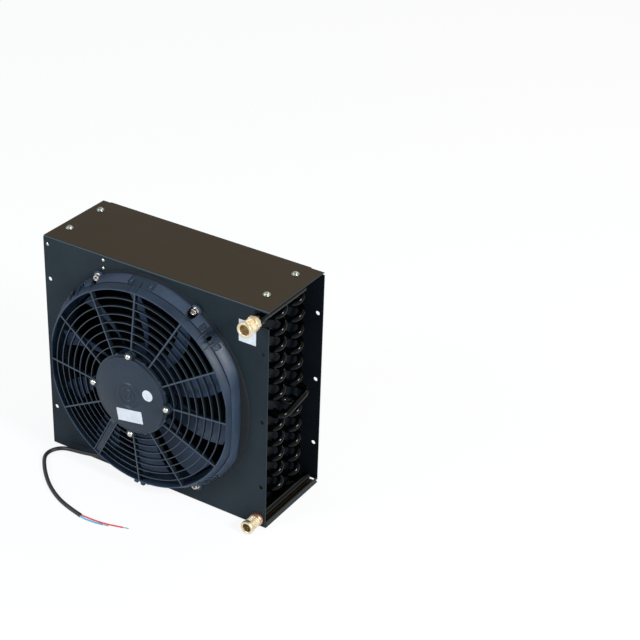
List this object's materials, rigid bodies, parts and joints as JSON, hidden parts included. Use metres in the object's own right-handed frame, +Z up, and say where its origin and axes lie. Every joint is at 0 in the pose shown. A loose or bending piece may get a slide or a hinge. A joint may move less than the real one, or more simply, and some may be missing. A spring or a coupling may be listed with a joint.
{
  "type": "vehicle air conditioning condenser",
  "caption": "Tube and fin condenser coil in a folded steel casing, with an axial fan on the front, a wire grille behind, two pipe fittings and a short cable.",
  "frame": {"origin": "centre of the casing's underside, which the unit stands on", "axes": "+Z up, +Y from the fan side to the grille side, +X to the right seen from the fan side, where the pipe fittings are"},
  "size_m": [0.375, 0.2685, 0.3486],
  "materials": {
    "black_casing_paint": "semi-gloss powder coat",
    "black_coil_paint": "thin gloss coat over tube and fin",
    "black_wire_paint": "satin coat over welded wire",
    "fan_nylon": "moulded glass-filled nylon",
    "blade_nylon": "moulded glass-filled nylon",
    "foam_rubber": "matt",
    "motor_paint": "satin coat",
    "bare_brass": "turned",
    "bare_copper": "drawn",
    "bronze": "sintered",
    "zinc_steel": "zinc plated",
    "ground_steel": "ground",
    "ferrite": "pressed and fired",
    "core_steel": "stacked sheets",
    "enamelled_copper": "lacquered wire",
    "carbon": "pressed graphite",
    "laminate": "paper laminate",
    "white_film": "printed film, left bare",
    "black_sheath": "soft PVC",
    "blue_insulation": "extruded PVC",
    "red_insulation": "extruded PVC"
  },
  "bodies": {
    "casing": {"shroud": "black_casing_paint", "end_plate_left": "black_casing_paint", "end_plate_right": "black_casing_paint", "fin_pack": "black_coil_paint", "hairpins_front": "black_coil_paint", "hairpins_rear": "black_coil_paint", "return_bends_front": "black_coil_paint", "return_bends_rear": "black_coil_paint", "crossover_tubes": "black_coil_paint", "inlet_header": "black_coil_paint", "outlet_header": "black_coil_paint", "inlet_fitting": "bare_brass", "outlet_fitting": "bare_brass", "outlet_collar": "bare_copper", "fan_housing": "fan_nylon", "fan_gasket": "foam_rubber", "motor_cap": "motor_paint", "motor_can": "motor_paint", "motor_magnets": "ferrite", "carbon_brushes": "carbon", "brush_card": "laminate", "front_bearing": "bronze", "rear_bearing": "bronze", "wire_mesh": "black_wire_paint", "grille_frame": "black_casing_paint", "frame_screws": "zinc_steel", "top_bolts": "zinc_steel", "bottom_bolts": "zinc_steel", "fan_screws": "zinc_steel", "fan_rivnuts": "zinc_steel", "cap_screws": "zinc_steel", "panel_rivets": "zinc_steel", "fitting_tag": "white_film", "motor_label": "white_film", "cap_sticker": "white_film", "cable_gland": "foam_rubber", "fan_cable": "black_sheath", "blue_wire": "blue_insulation", "red_wire": "red_insulation", "wire_tips": "bare_copper"},
    "rotor": {"motor_shaft": "ground_steel", "armature_core": "core_steel", "armature_windings": "enamelled_copper", "commutator": "bare_copper", "impeller": "blade_nylon", "impeller_nut": "zinc_steel"}
  },
  "joints": [
    {"name": "fan_spin", "type": "hinge", "parent": "casing", "child": "rotor", "pos_m": [-0.0065, -0.068, 0.1725], "axis": [0, 1, 0], "continuous": true}
  ]
}
